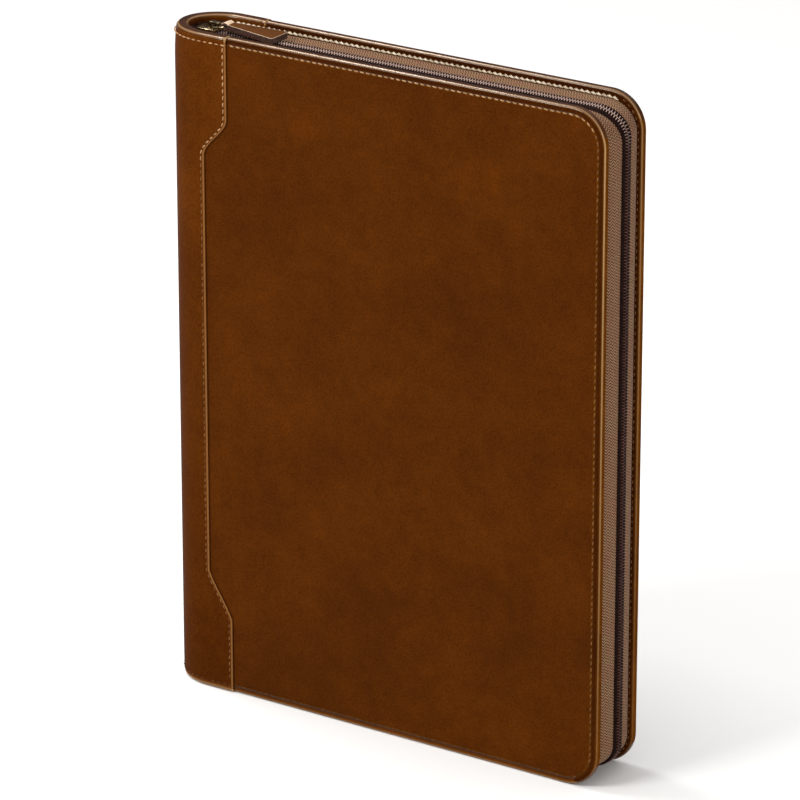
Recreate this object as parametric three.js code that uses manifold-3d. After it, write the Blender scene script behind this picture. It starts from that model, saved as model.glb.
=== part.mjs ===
// A leather document case that zips round three sides, standing on its bottom edge.
// Two flat covers are joined at the left by a rounded spine. A leather wrap goes round the spine and
// laps over both covers, and a coil zip closes the top, the right side and the bottom.
// Millimetres, +Z up. The front cover faces -Y, the spine is at -X and the zip's long side at +X.
// The origin is at the middle of the bottom edge, with the zip's bulge counted in the width.

import * as THREE from 'three';
import { mergeVertices } from 'three/addons/utils/BufferGeometryUtils.js';
import Module from 'manifold-3d';

const wasm = await Module();
wasm.setup();

// Case
const caseHeight = 340;
const caseWidth = 252;
const coverSpan = 37.2; // outer face of one cover to outer face of the other
const coverThickness = 4.6;
const cornerRadius = 18;
const clearance = 0.3; // between pieces that touch

// Spine and the leather wrap round it
const spineReach = 23.5; // how far the rounded spine stands out past the covers' straight part
const wrapThickness = 1;
const wrapTabLap = 16.5; // lap over the covers near the top and bottom
const wrapWaistLap = 3; // lap over the covers along the middle
const wrapTabHeight = 39;
const wrapStepHeight = 24;

// Zip tape
const tapeThickness = 1;
const tapeEdgeRecess = 4.2; // from the top rim down to the tape, at the covers
const tapeSideRecess = 2.6; // the same along the zip's long side
const tapeSlit = 0.3; // half the gap between the two tapes
const tapeEndDip = 5; // the tape's ends turn down into the spine
const tapeEndMargin = 3; // from the spine's inner wall to the tape's ends

// Coils
const coilWidth = 2.9;
const coilHeight = 1.3;
const coilSlit = 0.15; // half the gap between the two coils
const zipRecess = 3.5; // the coils' crown below the top rim
const zipBulge = 1.5; // the coils' crown beyond the side rim
const zipSag = 0.8; // the zip lies this much deeper beside the spine
const zipSagRun = 50; // over this length
const zipMeetRun = 1; // from the slider's wedge to where the tapes meet

// Slider
const sliderLength = 12;
const sliderMouthWidth = 9.4; // at the end towards the spine
const sliderTailWidth = 8.4;
const sliderPlate = 1.1;
const sliderWedgeLength = 3.2;
const sliderWedgeWidth = 2.8;
const sliderSetback = 5.4; // from the spine's inner wall to the slider
const sliderCut = 1.5; // the cut corners of its plates
const flangeInset = 1.5; // from its ends to its flanges
const bridgeLength = 6;
const bridgeWidth = 2.8;
const bridgeBar = 1.2; // thickness of the bridge's legs and top
const bridgeOpening = 1.8; // height under the bridge
const bridgeRound = 0.95; // radius of its two shoulders
const bridgeSetback = 0.6; // from the slider's tail to the bridge

// Pull
const linkWire = 1.2;
const linkLength = 7.2; // between the link's two cross bars
const linkBend = 1.1; // radius of its corners, to the middle of the wire
const linkRise = 1.1; // the link's outer bar above its inner bar, at rest
const tabLength = 30.5; // from the link's outer bar to the tab's square end
const tabThickness = 3;
const tabEyeWall = 1.4; // leather round the link's bar
const tabNeckWidth = 5.8;
const tabEndWidth = 13.6;
const tabCorner = 1.6;

// Zip end stop
const stopLength = 2.6;
const stopWidth = 6.2;

// Smoothness
const rimSegments = 7; // round a cover's rim: an odd number leaves a flat on its crest
const spineSegments = 20;
const cornerSegments = 8;
const wireSides = 8;

// Sizes that follow
const halfWidth = caseWidth / 2;
const wrapStandOff = clearance + wrapThickness; // the wrap's outer face in front of what it covers
const halfDepth = coverSpan / 2 + wrapStandOff;
const innerHalf = coverSpan / 2 - coverThickness; // middle plane to a cover's inner face
const spineX = -halfWidth + spineReach; // where the covers end and the round spine begins
const spineWall = wrapStandOff + coverThickness;
const spineInnerX = -halfWidth + spineWall;
const wrapEdgeX = spineX + wrapTabLap;
const rimRadius = coverThickness / 2;
const sliderX = spineInnerX + sliderSetback; // the slider's left end
const sliderEndX = sliderX + sliderLength;

function material(name, colour, roughness, metalness = 0) {
  return new THREE.MeshStandardMaterial({ name, color: colour, roughness, metalness });
}

const coverLeather = material('cover_leather', '#65320e', 0.42);
const wrapLeather = material('wrap_leather', '#6a3414', 0.4);
const liningCloth = material('lining_cloth', '#4a2c26', 0.9);
const tapeCloth = material('tape_cloth', '#9a7a5c', 0.9);
const coilNylon = material('coil_nylon', '#3c241d', 0.5);
const brass = material('brass', '#8a7040', 0.3, 1);
const tabLeather = material('tab_leather', '#7a4312', 0.5);

// One closed body through a row of loops with the same number of points. The loops close on themselves.
// The row either closes too, or its ends are capped: convex loops by a fan, wall loops (an outer row
// followed by the inner row backwards) by a strip, and any other by triangulation in X and Z.
function loft(loops, ends = 'fan') {
  const size = loops[0].length;
  const positions = loops.flat().flatMap((point) => [point.x, point.y, point.z]);
  const triangles = [];
  const spans = ends === 'closed' ? loops.length : loops.length - 1;
  for (let row = 0; row < spans; row += 1) {
    for (let i = 0; i < size; i += 1) {
      const a = row * size + i;
      const b = row * size + ((i + 1) % size);
      const c = ((row + 1) % loops.length) * size + i;
      const d = ((row + 1) % loops.length) * size + ((i + 1) % size);
      triangles.push([a, b, d], [a, d, c]);
    }
  }
  if (ends !== 'closed') {
    const last = (loops.length - 1) * size;
    for (const [a, b, c] of capTriangles(loops[0], ends)) triangles.push([a, c, b]);
    for (const [a, b, c] of capTriangles(loops.at(-1), ends)) triangles.push([last + a, last + b, last + c]);
  }
  return outward(positions, triangles);
}

function capTriangles(loop, ends) {
  const count = loop.length;
  if (ends === 'strip') {
    const half = count / 2;
    return Array.from({ length: half - 1 }, (_, i) => i).flatMap((i) => [
      [i, i + 1, count - 2 - i],
      [i, count - 2 - i, count - 1 - i],
    ]);
  }
  if (ends === 'flat') {
    const outline = loop.map((point) => new THREE.Vector2(point.x, point.z));
    return THREE.ShapeUtils.triangulateShape(outline, []);
  }
  return Array.from({ length: count - 2 }, (_, i) => [0, i + 1, i + 2]);
}

// A geometry from points and triangles, turned so that its faces point out
function outward(positions, triangles) {
  const at = (i) => new THREE.Vector3(...positions.slice(3 * i, 3 * i + 3));
  const volume = triangles.reduce((sum, [a, b, c]) => sum + at(a).dot(at(b).cross(at(c))), 0);
  const turned = volume < 0 ? triangles.map(([a, b, c]) => [a, c, b]) : triangles;
  const geometry = new THREE.BufferGeometry();
  geometry.setAttribute('position', new THREE.Float32BufferAttribute(positions, 3));
  geometry.setIndex(turned.flat());
  geometry.computeVertexNormals();
  return geometry;
}

function solid(geometry) {
  const bare = geometry.clone();
  bare.deleteAttribute('normal');
  bare.deleteAttribute('uv');
  const merged = mergeVertices(bare);
  return new wasm.Manifold(new wasm.Mesh({
    numProp: 3,
    vertProperties: new Float32Array(merged.attributes.position.array),
    triVerts: new Uint32Array(merged.index.array),
  }));
}

function fromSolid(body) {
  const mesh = body.getMesh();
  const geometry = new THREE.BufferGeometry();
  geometry.setAttribute('position', new THREE.BufferAttribute(mesh.vertProperties, 3));
  geometry.setIndex(new THREE.BufferAttribute(mesh.triVerts, 1));
  geometry.computeVertexNormals();
  return geometry;
}

function vector(x, y, z) {
  return new THREE.Vector3(x, y, z);
}

function range(count) {
  return Array.from({ length: count }, (_, i) => i);
}

// Half round rim of a given radius about its centre, from one face over the crest to the other.
// across runs from -radius to radius, and below is measured down from the flat on the crest.
function rimArc(radius, from = 0, to = rimSegments) {
  const crest = Math.cos(Math.PI / rimSegments / 2);
  return range(to - from + 1).map((k) => {
    const angle = Math.PI * (1 - (from + k) / rimSegments);
    return { across: radius * Math.cos(angle), below: radius * (crest - Math.sin(angle)) };
  });
}

// Covers
// The outline of a cover at one layer of its rim. Under the wrap the top and bottom edges are lower.
function coverOutline(inset) {
  const left = spineX + clearance;
  const step = wrapEdgeX + clearance;
  const low = wrapStandOff + inset;
  const radius = cornerRadius - inset;
  const centreX = halfWidth - cornerRadius;
  const corner = (start, centreZ) => range(cornerSegments + 1).map((k) => {
    const angle = start + (k / cornerSegments) * (Math.PI / 2);
    return [centreX + radius * Math.cos(angle), centreZ + radius * Math.sin(angle)];
  });
  return [
    [left, low],
    [step, low],
    [step, inset],
    ...corner(-Math.PI / 2, cornerRadius),
    ...corner(0, caseHeight - cornerRadius),
    [step, caseHeight - inset],
    [step, caseHeight - low],
    [left, caseHeight - low],
  ];
}

function cover(side) {
  const loops = rimArc(rimRadius).map(({ across, below }) => {
    const y = side * (coverSpan / 2 - rimRadius - across);
    return coverOutline(below).map(([x, z]) => vector(x, y, z));
  });
  return loft(loops, 'flat');
}

// Spine
// A point on the spine's plan, at a depth in from the wrap's outer face. Turn runs from -90 degrees
// at the front cover to 90 degrees at the back cover.
function spinePlan(turn, depth) {
  const normal = new THREE.Vector2(-halfDepth * Math.cos(turn), spineReach * Math.sin(turn)).normalize();
  return {
    x: spineX - spineReach * Math.cos(turn) - depth * normal.x,
    y: halfDepth * Math.sin(turn) - depth * normal.y,
  };
}

function spineTurns() {
  return range(spineSegments + 1).map((k) => Math.PI * (k / spineSegments - 0.5));
}

// Half the clear width inside the spine at a given x
function spineInnerHalf(x) {
  if (x >= spineX) return innerHalf;
  let low = 0;
  let high = Math.PI / 2;
  for (let i = 0; i < 30; i += 1) {
    const middle = (low + high) / 2;
    if (spinePlan(middle, spineWall).x < x) low = middle;
    else high = middle;
  }
  return spinePlan(high, spineWall).y;
}

// The padded wall inside the wrap: a slab with a round rim at the top and the bottom
function spineLining() {
  const loops = spineTurns().map((turn) => {
    const section = rimArc(rimRadius).map(({ across, below }) => {
      const plan = spinePlan(turn, wrapStandOff + rimRadius + across);
      return { plan, below: wrapStandOff + below };
    });
    const top = section.map(({ plan, below }) => vector(plan.x, plan.y, caseHeight - below));
    const bottom = section.map(({ plan, below }) => vector(plan.x, plan.y, below)).reverse();
    return [...top, ...bottom];
  });
  return loft(loops, 'fan');
}

// How far the wrap laps over a cover at a height z: wide tabs at the ends, a narrow waist between
function wrapLap(z) {
  const fromEnd = Math.min(z, caseHeight - z);
  const share = THREE.MathUtils.smoothstep(fromEnd, wrapTabHeight, wrapTabHeight + wrapStepHeight);
  return THREE.MathUtils.lerp(wrapTabLap, wrapWaistLap, share);
}

// The wrap's section from its turned edge inside the bottom rim, up the outer face and over the top rim
function wrapRows() {
  const outerArc = rimArc(rimRadius + wrapStandOff, 0, rimSegments - 1);
  const innerArc = rimArc(rimRadius + clearance, 0, rimSegments - 1);
  const innerCrest = wrapStandOff - clearance;
  const arc = outerArc.map((outer, k) => ({
    outerDepth: rimRadius + wrapStandOff + outer.across,
    outerZ: caseHeight - outer.below,
    innerDepth: rimRadius + wrapStandOff + innerArc[k].across,
    innerZ: caseHeight - innerCrest - innerArc[k].below,
  }));
  const stepShares = [0, 0.15, 0.3, 0.45, 0.6, 0.8, 1];
  const face = stepShares.map((share) => wrapTabHeight + share * wrapStepHeight).map((z) => ({
    outerDepth: 0, outerZ: z, innerDepth: wrapThickness, innerZ: z,
  }));
  const flip = (row) => ({ ...row, outerZ: caseHeight - row.outerZ, innerZ: caseHeight - row.innerZ });
  const lower = [...arc.map(flip).reverse(), ...face];
  return [...lower, ...lower.map(flip).reverse()];
}

function spineWrap() {
  const rows = wrapRows();
  const lapColumn = (side, share) => ({ depth, z }) => vector(
    spineX + share * wrapLap(z),
    side * (halfDepth - depth),
    z,
  );
  const roundColumn = (turn) => ({ depth, z }) => {
    const plan = spinePlan(turn, depth);
    return vector(plan.x, plan.y, z);
  };
  const columns = [lapColumn(-1, 1), ...spineTurns().map(roundColumn), lapColumn(1, 1)];
  const loops = columns.map((column) => [
    ...rows.map((row) => column({ depth: row.outerDepth, z: row.outerZ })),
    ...rows.map((row) => column({ depth: row.innerDepth, z: row.innerZ })).reverse(),
  ]);
  return loft(loops, 'strip');
}

// Zip path
// Each stop on the path turns a recess below the top rim and a recess inside the side rim into a point.
function zipSagAt(x) {
  const share = THREE.MathUtils.clamp((x - sliderEndX - clearance) / zipSagRun, 0, 1);
  return zipSag * (1 - share);
}

function topStop(x, dip = 0) {
  return ({ recess }) => ({ x, z: caseHeight - recess - zipSagAt(x) - dip });
}

function cornerStop(turn) {
  return ({ recess, sideRecess }) => ({
    x: halfWidth - cornerRadius + (cornerRadius - sideRecess) * Math.sin(turn),
    z: caseHeight - cornerRadius + (cornerRadius - recess) * Math.cos(turn),
  });
}

function sideStop(z) {
  return ({ sideRecess }) => ({ x: halfWidth - sideRecess, z });
}

// From the left end along the top, round the corners and back along the bottom
function zipPath(topStops) {
  const corner = range(cornerSegments + 1).map((k) => cornerStop((k / cornerSegments) * (Math.PI / 2)));
  const upper = [...topStops, ...corner];
  const mirrored = upper.map((stop) => (recesses) => {
    const point = stop(recesses);
    return { x: point.x, z: caseHeight - point.z };
  });
  return [...upper, sideStop(caseHeight / 2), ...mirrored.reverse()];
}

const straightStart = sliderEndX + clearance;
const straightStops = [0, 0.5, 1].map((share) => topStop(straightStart + share * zipSagRun));

// Tapes
const tapeRecess = zipRecess + coilHeight + clearance;
const tapeEndX = spineInnerX + tapeEndMargin;
const tapeFlatHalf = sliderMouthWidth / 2 + clearance;
const wedgeEndX = sliderX + sliderWedgeLength + clearance;
const zipMeetX = wedgeEndX + zipMeetRun;

function tapeStops() {
  const dipStart = sliderX - clearance;
  const dips = [[0, 1], [0.5, 0.45], [1, 0]]; // share of the way from the end, share of the dip
  const ends = dips.map(([along, dip]) => topStop(THREE.MathUtils.lerp(tapeEndX, dipStart, along), dip * tapeEndDip));
  return zipPath([...ends, topStop(wedgeEndX), topStop(zipMeetX), ...straightStops]);
}

// The tape is flat under the slider and rises or falls to the cover beside it
function tape(side) {
  const acrossShares = [0, 0.35, 0.7, 1]; // from the flat's edge to the cover
  const loops = tapeStops().map((stop) => {
    const { x, z } = stop({ recess: tapeRecess, sideRecess: 0 });
    const parted = x < zipMeetX - clearance && z > caseHeight / 2; // round the slider's wedge
    const inner = parted ? sliderWedgeWidth / 2 + clearance : tapeSlit;
    const outer = spineInnerHalf(x) - clearance;
    const flat = Math.min(tapeFlatHalf, outer - clearance);
    const stations = [{ y: inner, rise: 0 }, ...acrossShares.map((share) => ({
      y: THREE.MathUtils.lerp(flat, outer, share),
      rise: share * share,
    }))];
    const layer = (depth) => stations.map(({ y, rise }) => {
      const point = stop({
        recess: THREE.MathUtils.lerp(tapeRecess, tapeEdgeRecess, rise) + depth,
        sideRecess: THREE.MathUtils.lerp(coilHeight + clearance - zipBulge, tapeSideRecess, rise) + depth,
      });
      return vector(point.x, side * y, point.z);
    });
    return [...layer(0), ...layer(tapeThickness).reverse()];
  });
  return loft(loops, 'strip');
}

// Coils
function coil(side) {
  const bevel = 0.3; // share of the coil's width and height that its rounded shoulders take
  const section = [
    { across: 0, depth: 1 },
    { across: 0, depth: bevel },
    { across: bevel, depth: 0 },
    { across: 1 - bevel, depth: 0 },
    { across: 1, depth: bevel },
    { across: 1, depth: 1 },
  ];
  const stops = zipPath([topStop(zipMeetX), ...straightStops]);
  const loops = stops.map((stop) => section.map(({ across, depth }) => {
    const point = stop({
      recess: zipRecess + depth * coilHeight,
      sideRecess: depth * coilHeight - zipBulge,
    });
    return vector(point.x, side * (coilSlit + across * coilWidth), point.z);
  }));
  return loft(loops, 'fan');
}

function endStop() {
  const x = zipMeetX - clearance - stopLength;
  const shape = new THREE.Shape();
  const low = caseHeight - topStop(x)({ recess: zipRecess }).z;
  const high = low + coilHeight;
  shape.moveTo(x, high).lineTo(x, low + coilHeight / 3).lineTo(x + stopLength / 3, low);
  shape.lineTo(x + stopLength, low).lineTo(x + stopLength, high).closePath();
  return extrudeAcross(shape, stopWidth);
}

// A shape drawn in X and Z, extruded to a width centred on the zip
function extrudeAcross(shape, width) {
  const geometry = new THREE.ExtrudeGeometry(shape, { depth: width, bevelEnabled: false, curveSegments: 6 });
  geometry.rotateX(Math.PI / 2);
  geometry.translate(0, width / 2, 0);
  return geometry;
}

// Slider
const weld = 0.2; // how far welded parts of one casting run into each other
const zipTopZ = caseHeight - zipRecess - zipSag;
const plateTopZ = zipTopZ + clearance + sliderPlate;
const tapeUnderZ = zipTopZ - coilHeight - clearance - tapeThickness;
const pivotX = sliderEndX - bridgeSetback - bridgeBar - clearance - linkWire / 2;
const pivotZ = plateTopZ + bridgeOpening / 2;

// A slider plate's plan: wide at the mouth, narrow at the tail, with cut corners
function sliderPlan() {
  const mouth = sliderMouthWidth / 2;
  const tail = sliderTailWidth / 2;
  const points = [
    [sliderX, sliderCut - mouth], [sliderX + sliderCut, -mouth],
    [sliderEndX - sliderCut, -tail], [sliderEndX, sliderCut - tail],
    [sliderEndX, tail - sliderCut], [sliderEndX - sliderCut, tail],
    [sliderX + sliderCut, mouth], [sliderX, mouth - sliderCut],
  ];
  return new THREE.Shape(points.map(([x, y]) => new THREE.Vector2(x, y)));
}

function upright(shape, low, high) {
  const geometry = new THREE.ExtrudeGeometry(shape, { depth: high - low, bevelEnabled: false });
  geometry.translate(0, 0, low);
  return geometry;
}

function sliderFlange(side, low, high) {
  const inner = coilSlit + coilWidth + clearance;
  const outer = sliderTailWidth / 2;
  const left = sliderX + flangeInset;
  const right = sliderEndX - flangeInset;
  const points = [[left, inner], [right, inner], [right, outer], [left, outer]];
  return upright(new THREE.Shape(points.map(([x, y]) => new THREE.Vector2(x, side * y))), low, high);
}

function sliderBridge() {
  const right = sliderEndX - bridgeSetback;
  const left = right - bridgeLength;
  const foot = plateTopZ - weld;
  const soffit = plateTopZ + bridgeOpening;
  const crown = soffit + bridgeBar;
  const shape = new THREE.Shape();
  shape.moveTo(left, foot).lineTo(left, crown - bridgeRound);
  shape.quadraticCurveTo(left, crown, left + bridgeRound, crown).lineTo(right - bridgeRound, crown);
  shape.quadraticCurveTo(right, crown, right, crown - bridgeRound).lineTo(right, foot);
  shape.lineTo(right - bridgeBar, foot).lineTo(right - bridgeBar, soffit);
  shape.lineTo(left + bridgeBar, soffit).lineTo(left + bridgeBar, foot).closePath();
  return extrudeAcross(shape, bridgeWidth);
}

function slider() {
  const wedge = new THREE.Shape();
  wedge.moveTo(sliderX, -sliderWedgeWidth / 4).lineTo(sliderX + sliderWedgeLength / 3, -sliderWedgeWidth / 2);
  wedge.lineTo(sliderX + sliderWedgeLength, 0).lineTo(sliderX + sliderWedgeLength / 3, sliderWedgeWidth / 2);
  wedge.lineTo(sliderX, sliderWedgeWidth / 4).closePath();
  const plateUnderZ = zipTopZ + clearance;
  const baseTopZ = tapeUnderZ - clearance;
  const flangeZ = zipTopZ - coilHeight;
  const parts = [
    upright(sliderPlan(), plateUnderZ, plateTopZ),
    upright(sliderPlan(), baseTopZ - sliderPlate, baseTopZ),
    upright(wedge, baseTopZ - weld, plateUnderZ + weld),
    sliderFlange(-1, flangeZ, plateUnderZ + weld),
    sliderFlange(1, flangeZ, plateUnderZ + weld),
    sliderBridge(),
  ];
  return fromSolid(parts.map(solid).reduce((whole, part) => whole.add(part)));
}

// Pull, drawn about its pivot: x away from the spine along the zip, z up
const linkHalfWidth = tabNeckWidth / 2 + clearance + linkWire / 2;
const linkTilt = Math.asin(linkRise / linkLength);
const eyeX = linkLength * Math.cos(linkTilt);
const eyeHole = linkWire / 2 + clearance;
const eyeRadius = eyeHole + tabEyeWall;

function linkRing() {
  const corners = [
    [linkLength, linkHalfWidth, 0], [0, linkHalfWidth, 1], [0, -linkHalfWidth, 2], [linkLength, -linkHalfWidth, 3],
  ];
  const steps = 3;
  const centre = corners.flatMap(([x, y, quarter]) => range(steps + 1).map((k) => {
    const angle = (quarter + k / steps) * (Math.PI / 2);
    const middleX = x + (x > 0 ? -linkBend : linkBend);
    const middleY = y + (y > 0 ? -linkBend : linkBend);
    return { x: middleX + linkBend * Math.cos(angle), y: middleY + linkBend * Math.sin(angle), angle };
  }));
  const loops = centre.map(({ x, y, angle }) => range(wireSides).map((k) => {
    const round = (k / wireSides) * Math.PI * 2;
    const out = (linkWire / 2) * Math.cos(round);
    return vector(x + out * Math.cos(angle), y + out * Math.sin(angle), (linkWire / 2) * Math.sin(round));
  }));
  return loft(loops, 'closed');
}

// The tab's leather is folded round the link's bar. Its far end rests on the coils.
function pullTab() {
  const endX = eyeX + tabLength;
  const coilTop = topStop(pivotX + endX)({ recess: zipRecess }).z - pivotZ;
  const endUnder = coilTop + clearance;
  const eye = new THREE.Shape();
  eye.absarc(eyeX, linkRise, eyeRadius, 0, Math.PI * 2);
  const neckX = eyeX + eyeHole;
  const body = new THREE.Shape();
  body.moveTo(neckX, linkRise - tabThickness / 2).lineTo(endX, endUnder);
  body.lineTo(endX, endUnder + tabThickness).lineTo(neckX, linkRise + tabThickness / 2).closePath();
  const hole = new THREE.Shape();
  hole.absarc(eyeX, linkRise, eyeHole, 0, Math.PI * 2);
  const plan = new THREE.Shape();
  const neck = tabNeckWidth / 2;
  const end = tabEndWidth / 2;
  const flare = eyeX + eyeRadius;
  plan.moveTo(eyeX - eyeRadius - clearance, -neck).lineTo(flare, -neck).lineTo(endX - tabCorner, -end);
  plan.quadraticCurveTo(endX, -end, endX, tabCorner - end).lineTo(endX, end - tabCorner);
  plan.quadraticCurveTo(endX, end, endX - tabCorner, end).lineTo(flare, neck);
  plan.lineTo(eyeX - eyeRadius - clearance, neck).closePath();
  const wide = tabEndWidth + 2 * clearance;
  const leatherFold = solid(extrudeAcross(eye, wide)).add(solid(extrudeAcross(body, wide)));
  const cut = leatherFold.intersect(solid(upright(plan, -2 * eyeRadius, 2 * eyeRadius + linkRise)));
  return fromSolid(cut.subtract(solid(extrudeAcross(hole, wide))));
}

function piece(name, geometry, finish) {
  const mesh = new THREE.Mesh(geometry, finish);
  mesh.name = name;
  return mesh;
}

const documentCase = new THREE.Group();
documentCase.add(
  piece('front_cover', cover(-1), coverLeather),
  piece('back_cover', cover(1), coverLeather),
  piece('spine_wrap', spineWrap(), wrapLeather),
  piece('spine_lining', spineLining(), liningCloth),
  piece('front_tape', tape(-1), tapeCloth),
  piece('back_tape', tape(1), tapeCloth),
  piece('front_coil', coil(-1), coilNylon),
  piece('back_coil', coil(1), coilNylon),
  piece('zip_end_stop', endStop(), brass),
  piece('slider', slider(), brass),
);

const pull = new THREE.Group();
pull.position.set(pivotX, 0, pivotZ);
const link = piece('pull_link', linkRing(), brass);
link.rotation.y = -linkTilt;
pull.add(link, piece('pull_tab', pullTab(), tabLeather));
documentCase.add(pull);
documentCase.position.x = -zipBulge / 2;

export default documentCase;
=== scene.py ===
"""A brown leather document case with a zip round three sides, standing on its bottom edge.

The leather covers, the stepped wrap round the spine, the herringbone zip tape, the nylon coil, the brass
slider with its leather pull, the lining and all the stitching are modelled round the CAD part.
Sizes are in millimetres and are turned to metres where points are placed.
"""

import math

import bmesh
import bpy
from mathutils import Matrix, Vector, noise


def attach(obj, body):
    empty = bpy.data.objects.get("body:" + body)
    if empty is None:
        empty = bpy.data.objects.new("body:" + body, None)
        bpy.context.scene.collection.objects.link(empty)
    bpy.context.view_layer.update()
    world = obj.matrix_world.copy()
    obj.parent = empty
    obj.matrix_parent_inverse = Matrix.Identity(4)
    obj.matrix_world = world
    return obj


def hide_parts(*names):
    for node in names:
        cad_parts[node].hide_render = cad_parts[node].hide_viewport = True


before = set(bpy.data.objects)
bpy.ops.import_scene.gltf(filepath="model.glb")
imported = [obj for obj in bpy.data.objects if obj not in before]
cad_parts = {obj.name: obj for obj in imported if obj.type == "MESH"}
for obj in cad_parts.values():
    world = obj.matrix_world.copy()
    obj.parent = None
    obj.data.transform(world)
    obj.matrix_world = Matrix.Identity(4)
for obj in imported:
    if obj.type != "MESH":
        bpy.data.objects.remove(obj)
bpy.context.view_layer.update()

MM = 0.001

# The case
height = 340
right_edge = 125.25  # crest of the covers' right rim
face_y = 18.6  # outer face of a cover, from the middle plane
inner_y = 14.0
corner_radius = 18
rim = 1.7  # how round a rim's two edges are

# The spine and the wrap round it
spine_x = -103.25  # where the covers end and the round spine begins
spine_reach = 23.5
wrap_y = 19.9
wrap_stand = 1.3  # the wrap's outer face in front of the cover
wrap_leather = 1.0
wrap_rim = 1.9
tab_lap = 16.5
waist_lap = 3.0
tab_height = 39
step_height = 24
spine_wall = 5.9
wrap_edge_x = spine_x + tab_lap
back_fold_x = -119.5  # behind here the wrap's hide gets painted shade over 4 mm
foot_band = 2.5  # of hide at the foot painted amber as painted light, like the rims' crest line
lining_y = 18.6  # outer face of the lining
lining_ends = 1.3  # how far it stops from the top and the bottom

# The stitching
stitch_pitch = 3.4
overcast_pitch = 3.0
stitch_inset = 3.8  # from a rim's crest
seam_inset = 1.8  # from the wrap's edge

# The zip
coil_crown = 3.5  # below the top rim
coil_bulge = 1.5  # beyond the side rim
coil_height = 1.3
coil_pitch = 1.53
tape_gap = 0.3
tape_under = coil_crown + coil_height + tape_gap
tape_edge = 4.2
tape_side_edge = 2.6
zip_sag = 0.8
sag_start = -103.15
sag_run = 50
slider_left = -115.45
tape_end_x = -117.85
tape_end_dip = 5
zip_start_x = -110.95


# Working in Blender

def metres(x, y, z):
    return Vector((x, y, z)) * MM


def clamp(share):
    """Keeps a share between 0 and 1."""
    return max(0.0, min(1.0, share))


def alone(piece):
    """Selects one piece and nothing else."""
    bpy.ops.object.select_all(action="DESELECT")
    piece.select_set(True)
    bpy.context.view_layer.objects.active = piece


def edit(piece):
    alone(piece)
    bpy.ops.object.mode_set(mode="EDIT")


def leave_edit():
    bpy.ops.object.mode_set(mode="OBJECT")


def choose(piece, kind, wanted):
    """In edit mode, selects the vertices, edges or faces that pass a test."""
    bpy.ops.mesh.select_mode(type=kind)
    bpy.ops.mesh.select_all(action="DESELECT")
    mesh = bmesh.from_edit_mesh(piece.data)
    parts = {"VERT": mesh.verts, "EDGE": mesh.edges, "FACE": mesh.faces}[kind]
    for part in parts:
        if wanted(part):
            part.select_set(True)
    mesh.select_flush_mode()
    bmesh.update_edit_mesh(piece.data)


def middle(edge):
    return (edge.verts[0].co + edge.verts[1].co) / 2


def block(name, low, high):
    """A cube from one corner to the other."""
    bpy.ops.object.select_all(action="DESELECT")
    low, high = metres(*low), metres(*high)
    bpy.ops.mesh.primitive_cube_add(size=1, location=(low + high) / 2)
    piece = bpy.context.object
    piece.name = name
    piece.scale = high - low
    bpy.ops.object.transform_apply(location=True, rotation=True, scale=True)
    return piece


def finish_modifier(piece, kind, **settings):
    alone(piece)
    modifier = piece.modifiers.new(kind.title(), kind)
    for name, value in settings.items():
        setattr(modifier, name, value)
    bpy.ops.object.modifier_apply(modifier=modifier.name)


def round_edges(piece, width, segments, degrees):
    """Rounds the edges that turn by more than some degrees."""
    finish_modifier(piece, "BEVEL", width=width * MM, segments=segments,
                    limit_method="ANGLE", angle_limit=math.radians(degrees))


def smooth(piece, degrees=40):
    alone(piece)
    bpy.ops.object.shade_smooth_by_angle(angle=math.radians(degrees))


def cad_copy(name, node, whole_faces=True):
    """A copy of a CAD node's mesh with its points merged and, where wanted, its flat faces whole."""
    piece = bpy.data.objects.new(name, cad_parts[node].data.copy())
    bpy.context.scene.collection.objects.link(piece)
    piece.data.materials.clear()
    edit(piece)
    bpy.ops.mesh.select_all(action="SELECT")
    bpy.ops.mesh.remove_doubles(threshold=0.002 * MM)
    if whole_faces:
        bpy.ops.mesh.dissolve_limited(angle_limit=math.radians(1))
    leave_edit()
    return piece


def lay_sheet(name, columns, rows, place, unroll=None):
    """A grid laid out point by point. place turns a column and a row into a point in millimetres,
    and unroll into a point on the flat sheet, which becomes the UV map in millimetres."""
    bpy.ops.object.select_all(action="DESELECT")
    bpy.ops.mesh.primitive_grid_add(x_subdivisions=columns, y_subdivisions=rows, size=2)
    piece = bpy.context.object
    piece.name = name
    spots = [
        (round((point.co.x + 1) / 2 * columns), round((point.co.y + 1) / 2 * rows))
        for point in piece.data.vertices
    ]
    for point, (column, row) in zip(piece.data.vertices, spots):
        point.co = metres(*place(column, row))
    if unroll:
        layer = piece.data.uv_layers.active
        for loop in piece.data.loops:
            layer.data[loop.index].uv = unroll(*spots[loop.vertex_index])
    return piece


def face_away(piece, outside):
    """Turns an open sheet so that its first face looks towards a point."""
    face = piece.data.polygons[0]
    if face.normal.dot(metres(*outside) - face.center) < 0:
        edit(piece)
        bpy.ops.mesh.select_all(action="SELECT")
        bpy.ops.mesh.flip_normals()
        leave_edit()


def dress(piece, body, slot, material, *nodes):
    """Gives a finished piece its material and its body, and hides the CAD nodes that it stands for. The slot
    is not used.
    """
    piece.data.materials.clear()
    piece.data.materials.append(material)
    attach(piece, body)
    if nodes:
        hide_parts(*nodes)
    return piece


# Materials

def colour(code):
    """An sRGB hex code as linear colour."""
    parts = [int(code[i:i + 2], 16) / 255 for i in (1, 3, 5)]
    linear = [part / 12.92 if part <= 0.04045 else ((part + 0.055) / 1.055) ** 2.4 for part in parts]
    return (*linear, 1)


def per_mm(size):
    """The scale of a texture on Object coordinates whose features are this many millimetres."""
    return 1 / (size * MM)


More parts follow.
